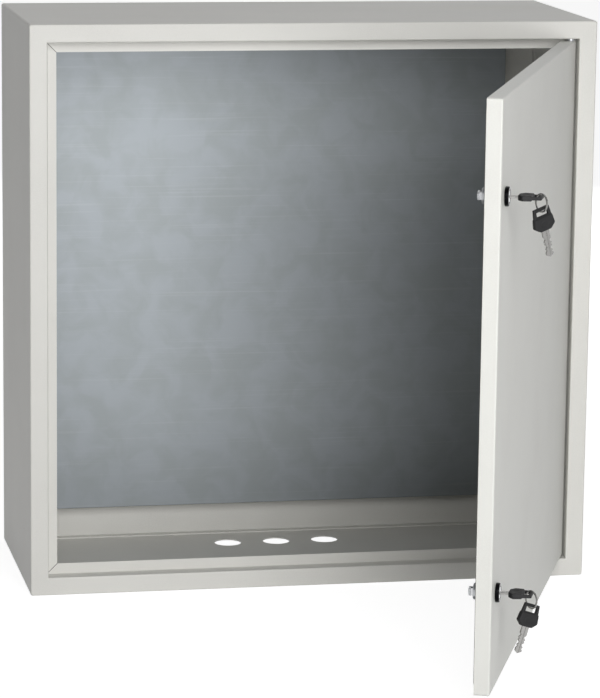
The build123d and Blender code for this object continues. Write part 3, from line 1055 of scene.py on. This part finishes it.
@dataclass(frozen=True)
class FlatKey:
    """A flat key: a steel blade with cuts on both edges, moulded into a plastic head.

    Its frame has its origin where the blade leaves the head. Y runs to the head's end, X
    across the blade and Z through its thickness.
    """

    blade_width: float = 8.0
    blade_thickness: float = 1.8
    blade_length: float = 26.0
    blade_point: float = 2.5
    channel_depth: float = 0.38
    wedge_length: float = 1.6
    cuts: tuple[float, ...] = (1.1, 1.7, 0.8, 1.4)
    cut_pitch: float = 3.6
    head_length: float = 22.0
    head_width: float = 23.0
    top_width: float = 17.5
    foot_width: float = 12.0
    foot_length: float = 4.5
    head_thickness: float = 5.0
    rim_thickness: float = 3.0
    rim_length: float = 9.0
    slot_length: float = 13.0
    slot_width: float = 4.8
    bridge: float = 3.0
    around: int = 144

    def edge(self, y: np.ndarray, shift: float) -> np.ndarray:
        """Half width of the blade at y, less the V cut of the nearest bitting.

        Args:
            y: Stations along the blade.
            shift: How far this edge's cuts sit along from the other's.

        Returns:
            Half widths.
        """
        half = self.blade_width / 2
        from_tip = y + self.blade_length
        taper = np.clip(half * from_tip / self.blade_point, 0.05, half)
        middles = 2 * self.blade_point + np.arange(len(self.cuts)) * self.cut_pitch + shift
        depths = np.array(self.cuts) * 2 ** 0.5
        notch = depths[None, :] - np.abs(from_tip[:, None] - middles[None, :])
        return np.minimum(taper, half - np.clip(notch, 0, depths - 0.25).max(axis=1))

    def blade(self, place: Place) -> Stack:
        """Carry the blade's section from its tip into the head.

        The section is a flat bar with a channel in each face. Its two edges follow the cuts,
        and the tip is ground to a wedge.

        Args:
            place: Frame of the key.

        Returns:
            The rings in metres, and whether the last joins the first.
        """
        y = np.linspace(-self.blade_length, 1.0, 136)
        right, left = self.edge(y, 0.0), -self.edge(y, self.cut_pitch / 2)
        half = self.blade_thickness / 2
        sunk = half - self.channel_depth
        wedge = np.clip((y + self.blade_length) / self.wedge_length, 0.35, 1.0)
        channel = ((-1.3, half), (-1.15, sunk), (0.35, sunk), (0.5, half))
        columns = [(left, half - 0.15), (left + 0.15, half)]
        columns += [(np.clip(np.full_like(y, x), left, right), z) for x, z in channel]
        columns += [(right - 0.15, half), (right, half - 0.15)]
        columns += [(right, 0.15 - half), (right - 0.15, -half)]
        columns += [(np.clip(np.full_like(y, -x), left, right), -z) for x, z in channel]
        columns += [(left + 0.15, -half), (left, 0.15 - half)]
        section = [np.stack((x, y, z * wedge), axis=1) for x, z in columns]
        return place.world(np.stack(section, axis=1)), False

    def head(self, place: Place) -> Stack:
        """Moulded head: a rounded plate pierced by the ring's slot.

        In polar form about the slot, the surface runs from the slot's radius to the outline's
        on each face. Its half thickness steps down smoothly to the rim by the slot, and both
        edges are quarter rounds. A shallow thumb dish is sunk in each face.

        Args:
            place: Frame of the key.

        Returns:
            The rings in metres, and whether the last joins the first.
        """
        slot_y = self.head_length - self.bridge - self.slot_width / 2
        corners = np.array((
            (self.top_width / 2, self.head_length), (-self.top_width / 2, self.head_length),
            (-self.head_width / 2, self.foot_length), (-self.foot_width / 2, 0.0),
            (self.foot_width / 2, 0.0), (self.head_width / 2, self.foot_length),
        ))
        outer = polar_outline(corners - (0.0, slot_y), self.around, 60.0)
        inner = polar_outline(rectangle(self.slot_length, self.slot_width), self.around, 30.0)
        quarter = np.linspace(0, pi / 2, 6)
        round_in, round_out = 0.5, 0.8
        flat = np.linspace(0, 1, 26)[1:-1, None]
        start, stop = inner + round_in, outer - round_out
        radii = np.concatenate((
            inner + round_in * (1 - np.cos(quarter))[:, None],
            start + (stop - start) * flat,
            outer - round_out * (1 - np.cos(quarter[::-1]))[:, None],
        ))
        drop = np.concatenate((
            round_in * (1 - np.sin(quarter)), np.zeros(len(flat)),
            round_out * (1 - np.sin(quarter[::-1])),
        ))[:, None]
        angles = turn_angles(self.around)
        x, y = radii * np.cos(angles), radii * np.sin(angles) + slot_y
        thick, thin = self.head_thickness / 2, self.rim_thickness / 2
        step = smooth_step((y - (self.head_length - self.rim_length)) / 0.9 + 0.5)
        dish = 0.45 * smooth_step(2.2 - np.hypot(x / 5.2, (y - 6.4) / 3.4) * 2.0)
        height = thick + (thin - thick) * step - dish - drop
        face = np.stack((x, y, height), axis=-1)
        under = face[::-1] * (1, 1, -1)
        return place.world(np.concatenate((face, under))), True


@dataclass(frozen=True)
class SplitRing:
    """A flat wire wound twice round, so that its two coils lie against each other."""

    diameter: float = 18.0
    wire: float = 1.4
    half_width: float = 0.62
    squareness: float = 0.5
    coil_gap: float = 0.04
    ends_at: float = 205.0

    def stack(self, place: Place) -> Stack:
        """Sweep the wire's section along two turns that step across once.

        At angle a the wire's middle is at the ring's radius, and its side offset is minus or
        plus half a coil, changing by a smooth step as the second turn begins.

        Args:
            place: Frame of the ring: X and Y in its plane and Z along its axis.

        Returns:
            The swept rings.
        """
        middle = (self.diameter - self.wire) / 2
        coil = self.wire / 2 - self.coil_gap / 2
        start = radians(self.ends_at)
        angle = np.linspace(start + 0.03, start + 4 * pi - 0.03, 260)[:, None]
        progress = (angle - start - 2 * pi) / 0.5 + 0.5
        offset = (smooth_step(progress) - 0.5) * (coil + self.coil_gap)
        around = turn_angles(14)[None, :]
        wide, high = (
            half * np.sign(wave) * np.abs(wave) ** self.squareness
            for half, wave in (
                (self.half_width, np.cos(around)), (coil / 2 * 0.97, np.sin(around)))
        )
        radius = middle + wide
        points = np.stack((
            radius * np.cos(angle), radius * np.sin(angle), offset + high + 0 * wide), axis=-1)
        return place.world(points), False


@dataclass
class KeySet:
    """The key in one lock, the ring through its head and the spare key that hangs from it."""

    side: Side
    lock: CamLock
    key: FlatKey = FlatKey()
    ring: SplitRing = SplitRing()
    shank_length: float = 8.2
    ring_swivel: float = 45.0
    ring_drop: float = 4.6
    ring_shift: float = 0.7
    ring_slack: float = 0.45

    def places(self) -> dict[str, Place]:
        """Frames of the key, the ring and the spare, worked out from how they hang.

        The ring stands upright about the bridge of the key's head, turned by its swivel. The
        spare hangs by its own bridge from the ring's lowest point, leaning in its plane.

        Returns:
            Frame of each of the three, by name.
        """
        lock = self.lock.place
        x, up, out = lock.x, lock.y, lock.z
        head_start = self.lock.bezel_height + self.shank_length
        turn = radians(self.ring_swivel)
        along = cos(turn) * out - sin(turn) * x
        normal = -cos(turn) * x - sin(turn) * out
        bridge = head_start + self.key.head_length - self.key.bridge / 2
        middle = lock.moved(y=-self.ring_drop, z=bridge).origin + along * self.ring_shift * MM
        ring_radius = (self.ring.diameter - self.ring.wire) / 2
        hang_point = middle - up * ring_radius * MM
        lean = self.side.lean
        head_up = up * cos(lean) - normal * sin(lean)
        hang = self.key.head_length - self.key.bridge - self.ring.wire / 2 - self.ring_slack
        return {
            "key": Place(lock.moved(z=head_start).origin, -x, out, up),
            "ring": Place(middle, along, up, np.cross(along, up)),
            "spare": Place(
                hang_point - head_up * hang * MM, np.cross(head_up, along), head_up, along),
        }

    def build(self, finishes: Finishes) -> None:
        """Make the two keys and the ring, each on its own body.

        Args:
            finishes: Every material of the object.
        """
        label = self.side.label
        places = self.places()
        parts = (
            ("key_blade", self.key.blade(places["key"]), finishes.nickel, "key", "key_steel"),
            ("key_head", self.key.head(places["key"]), finishes.black_nylon, "key",
             "key_plastic"),
            ("key_ring", self.ring.stack(places["ring"]), finishes.nickel, "ring", "key_steel"),
            ("spare_key_blade", self.key.blade(places["spare"]), finishes.nickel, "spare_key",
             "key_steel"),
            ("spare_key_head", self.key.head(places["spare"]), finishes.black_nylon,
             "spare_key", "key_plastic"),
        )
        for name, stack, material, body, slot in parts:
            piece = skin(f"{label}_{name}_fine", [stack])
            finish_piece(piece, material, f"{label}_{body}", (f"{label}_{name}",))


@dataclass
class Door:
    """The swinging half: the folded panel, its gasket, bushes, earth stud and locks."""

    lock_place: Place
    gasket_from_edge: float = 5.0
    gasket_width: float = 8.0
    gasket_height: float = 1.5
    thickness: float = 15.0
    width: float = 557.0
    height: float = 557.0
    lock_from_free_edge: float = 29.0
    earth_from_hinge_edge: float = 40.0
    earth_from_bottom: float = 40.0
    sheet: float = 1.5

    def middle(self) -> Place:
        """Frame at the middle of the door's front: X to the hinge, Y up and Z outwards."""
        to_middle = self.width / 2 - self.lock_from_free_edge
        origin = self.lock_place.moved(x=to_middle).origin * (1, 1, 0)
        return Place(origin, self.lock_place.x, self.lock_place.y, self.lock_place.z)

    def gasket(self) -> Stack:
        """Foam bead round the door's rear flange.

        A domed section is carried round a rectangle whose outer corners are rounded: a point
        goes along each side in turn, and at each corner the section turns about the inner
        corner, so the outer edge is an arc.

        Returns:
            The rings in metres, and whether the last joins the first.
        """
        half_x = self.width / 2 - self.gasket_from_edge - self.gasket_width
        half_y = self.height / 2 - self.gasket_from_edge - self.gasket_width
        corner_x, corner_y = np.array((1, -1, -1, 1)), np.array((1, 1, -1, -1))
        arc = np.linspace(0, pi / 2, 9)[None, :] + np.array((0, 1, 2, 3))[:, None] * pi / 2
        bulge = np.linspace(0, pi, 15)
        out = self.gasket_width / 2 * (1 - np.cos(bulge))
        rise = self.gasket_height * np.sin(bulge) ** 0.6
        underside = np.array((0.75, 0.25)) * self.gasket_width
        out, rise = np.append(out, underside), np.append(rise, (0.0, 0.0))
        outward = np.stack((np.cos(arc), np.sin(arc)), axis=-1).reshape(-1, 1, 2)
        inner = np.stack((corner_x * half_x, corner_y * half_y), axis=1)
        inner = np.repeat(inner, arc.shape[1], axis=0)[:, None, :]
        flat = inner + outward * out[None, :, None]
        depth = np.broadcast_to(-self.thickness - rise, flat.shape[:2])
        points = np.concatenate((flat, depth[..., None]), axis=-1)
        return self.middle().world(points), True

    def build(self, finishes: Finishes) -> None:
        """Dress the panel and bushes, and make the gasket and the earth terminal.

        Args:
            finishes: Every material of the object.
        """
        dress(finishes.door_paint, "door_panel")
        dress(finishes.dull_zinc, "upper_hinge_bush", "lower_hinge_bush")
        gasket = skin("door_gasket_bead", [self.gasket()], sharp=60.0)
        finish_piece(gasket, finishes.foam, "door", ("door_gasket",))
        middle = self.middle()
        inwards = Place(middle.origin, -middle.x, middle.y, -middle.z)
        seat = inwards.moved(
            x=-(self.width / 2 - self.earth_from_hinge_edge),
            y=self.earth_from_bottom - self.height / 2,
            z=self.sheet,
        )
        earth_fastening("door", "door").build([seat], finishes.zinc)


@dataclass(frozen=True)
class SoftLight:
    """A square studio lamp behind its diffuser."""

    name: str
    position: tuple[float, float, float]
    aim: tuple[float, float, float]
    size: float
    power: float
    mirrored: bool = True

    def build(self) -> None:
        """Hang the lamp and point it. The camera doesn't see it, and reflections may not."""
        data = bpy.data.lights.new(self.name, "AREA")
        data.shape, data.size, data.energy = "SQUARE", self.size, self.power
        lamp = bpy.data.objects.new(self.name, data)
        away = np.array(self.position) - np.array(self.aim)
        z = away / np.linalg.norm(away)
        x = np.cross(UP, z)
        x /= np.linalg.norm(x)
        lamp.matrix_world = axes_matrix(x, np.cross(z, x), z, np.array(self.position))
        lamp.visible_camera = False
        lamp.visible_glossy = self.mirrored
        bpy.context.scene.collection.objects.link(lamp)


def axes_matrix(x: np.ndarray, y: np.ndarray, z: np.ndarray, origin: np.ndarray) -> Matrix:
    """Matrix that carries local axes to x, y and z at an origin.

    Args:
        x: Direction of the local X.
        y: Direction of the local Y.
        z: Direction of the local Z.
        origin: Place of the local origin, in metres.

    Returns:
        The matrix.
    """
    table = np.eye(4)
    table[:3, 0], table[:3, 1], table[:3, 2], table[:3, 3] = x, y, z, origin
    return Matrix(table.tolist())


@dataclass
class Studio:
    """Pale floor, white backdrop, three soft lamps at the camera, one overhead and one behind.

    The cabinet faces -Y, where the camera and the dimmer part of the room are. Reflections
    show the white backdrop behind the cabinet, and the dimmer room in front of it.
    """

    floor_level: float
    floor_reach: float = 14.0
    floor_colour: str = "#EDEDED"
    floor_share: float = 0.4
    floor_glow: float = 0.89
    ambient: float = 0.12
    room_light: float = 0.35
    room_edge: float = 0.3
    lamps: tuple[SoftLight, ...] = (
        SoftLight("low_light", (0.1, -2.9, 0.2), (0.0, -0.25, 0.0), 1.0, 23.0),
        SoftLight("left_light", (-0.25, -2.7, 1.2), (0.0, -0.25, 0.0), 1.0, 20.0),
        SoftLight("right_light", (0.45, -2.7, 1.2), (0.0, -0.25, 0.0), 1.0, 10.0),
        SoftLight("top_light", (0.0, 0.0, 2.4), (0.0, -0.25, 0.0), 1.0, 2.0),
        SoftLight("back_light", (0.9, 2.6, 0.6), (0.0, -0.1, 0.0), 1.0, 26.0, mirrored=False),
    )

    def seen_directly(self, tree: bpy.types.NodeTree) -> bpy.types.Node:
        """Share of rays that come from the camera, a reflection or glass: 0 or 1.

        Args:
            tree: Node tree that the share is used in.

        Returns:
            The node that gives the share.
        """
        rays = add_node(tree, "LightPath").outputs
        either = add_node(
            tree, "Math", {0: rays["Is Camera Ray"], 1: rays["Is Glossy Ray"]},
            operation="MAXIMUM",
        )
        return add_node(
            tree, "Math", {0: either, 1: rays["Is Transmission Ray"]}, operation="MAXIMUM"
        )

    def build(self) -> None:
        """Make the world, the floor and the lamps, and set the view transform."""
        bpy.context.scene.view_settings.view_transform = "Standard"
        world = bpy.data.worlds.new("studio_air")
        world.use_nodes = True
        bpy.context.scene.world = world
        tree = world.node_tree
        tree.nodes.clear()
        soft = add_node(tree, "Background", {"Color": linear(WHITE), "Strength": self.ambient})
        towards = add_node(
            tree, "SeparateXYZ", {0: add_node(tree, "TexCoord").outputs["Generated"]}
        )
        mirrored = add_node(
            tree, "MapRange",
            {"Value": towards.outputs["Y"], "From Min": -self.room_edge,
             "From Max": self.room_edge, "To Min": self.room_light, "To Max": 1.0},
        )
        camera = add_node(tree, "LightPath").outputs["Is Camera Ray"]
        strength = add_node(tree, "Math", {0: camera, 1: mirrored}, operation="MAXIMUM")
        white = add_node(tree, "Background", {"Color": linear(WHITE), "Strength": strength})
        mix = add_node(tree, "MixShader", {0: self.seen_directly(tree), 1: soft, 2: white})
        add_node(tree, "OutputWorld", {"Surface": mix})
        self.floor()
        for lamp in self.lamps:
            lamp.build()

    def floor(self) -> None:
        """Lay the floor: matt white that keeps the object's shadow.

        To the camera and in reflections most of it glows just under white, so that with the
        lamps' light on the rest it reaches white, and a contact shadow stays visible.
        """
        reach = self.floor_reach
        corners = [(x * reach, y * reach, self.floor_level)
                   for x, y in ((-1, -1), (1, -1), (1, 1), (-1, 1))]
        mesh = bpy.data.meshes.new("studio_floor")
        mesh.from_pydata(corners, [], [(0, 1, 2, 3)])
        floor = bpy.data.objects.new("studio_floor", mesh)
        bpy.context.scene.collection.objects.link(floor)
        material = bpy.data.materials.new("matt_white_floor")
        material.use_nodes = True
        tree = material.node_tree
        tree.nodes.clear()
        matt = add_node(tree, "BsdfDiffuse", {"Color": linear(self.floor_colour)})
        glow = add_node(tree, "Emission", {"Color": linear(WHITE), "Strength": self.floor_glow})
        shadowed = add_node(tree, "AddShader", {0: glow, 1: add_node(
            tree, "MixShader", {0: self.floor_share, 2: matt})})
        mix = add_node(tree, "MixShader", {0: self.seen_directly(tree), 1: matt, 2: shadowed})
        add_node(tree, "OutputMaterial", {"Surface": mix})
        mesh.materials.append(material)
        log.info("studio_floor: laid at %.3f m", self.floor_level)


@dataclass(frozen=True)
class StudioCamera:
    """Camera fitted to the photograph: its place, its turn and its lens."""

    position: tuple[float, float, float] = (-0.71703, -3.72606, 0.62653)
    yaw: float = 0.196653
    pitch: float = 0.194488
    roll: float = 0.011666
    focal_px: float = 3430.04
    centre_px: tuple[float, float] = (290.63, 376.06)
    image_px: tuple[int, int] = (600, 698)
    sensor: float = 36.0

    def build(self) -> None:
        """Make the camera. Its lens and shift are worked out on the image's long side."""
        width, height = self.image_px
        data = bpy.data.cameras.new("studio_camera")
        data.sensor_width = self.sensor
        data.lens = self.focal_px * self.sensor / height
        data.shift_x = (width / 2 - self.centre_px[0]) / height
        data.shift_y = (self.centre_px[1] - height / 2) / height
        data.clip_start, data.clip_end = 0.05, 100.0
        ahead = np.array((
            sin(self.yaw) * cos(self.pitch), cos(self.yaw) * cos(self.pitch), -sin(self.pitch)))
        level = np.array((cos(self.yaw), -sin(self.yaw), 0.0))
        above = np.cross(level, ahead)
        right = cos(self.roll) * level + sin(self.roll) * above
        up = cos(self.roll) * above - sin(self.roll) * level
        camera = bpy.data.objects.new("studio_camera", data)
        camera.matrix_world = axes_matrix(right, up, -ahead, np.array(self.position))
        bpy.context.scene.collection.objects.link(camera)
        bpy.context.scene.camera = camera


def lock_place(side: Side) -> Place:
    """Frame of a lock on the door's front, from the joint that its plug turns about.

    Args:
        side: Which of the two locks.

    Returns:
        The lock's frame.
    """
    joint = next(j for j in frame["joints"] if j["name"] == f"{side.label}_lock_turn")
    out = np.array(joint["axis"], dtype=float)
    out /= np.linalg.norm(out)
    return Place(np.array(joint["pos_m"]), np.cross(UP, out), UP, out)


def main() -> None:
    """Build the camera, the studio and the enclosure."""
    logging.basicConfig(level=logging.INFO, format="%(name)s: %(message)s")
    StudioCamera().build()
    shell_low, shell_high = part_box("body_shell")
    Studio(floor_level=shell_low.z).build()
    finishes = Finishes(Mitre(shell_high.x, shell_high.z, shell_low.y + LIP_DEPTH_MM * MM))
    Cabinet().build(finishes)
    Door(lock_place(Side.UPPER)).build(finishes)
    for side in Side:
        lock = CamLock(side, lock_place(side))
        lock.build(finishes)
        KeySet(side, lock).build(finishes)


if __name__ == "__main__":
    main()
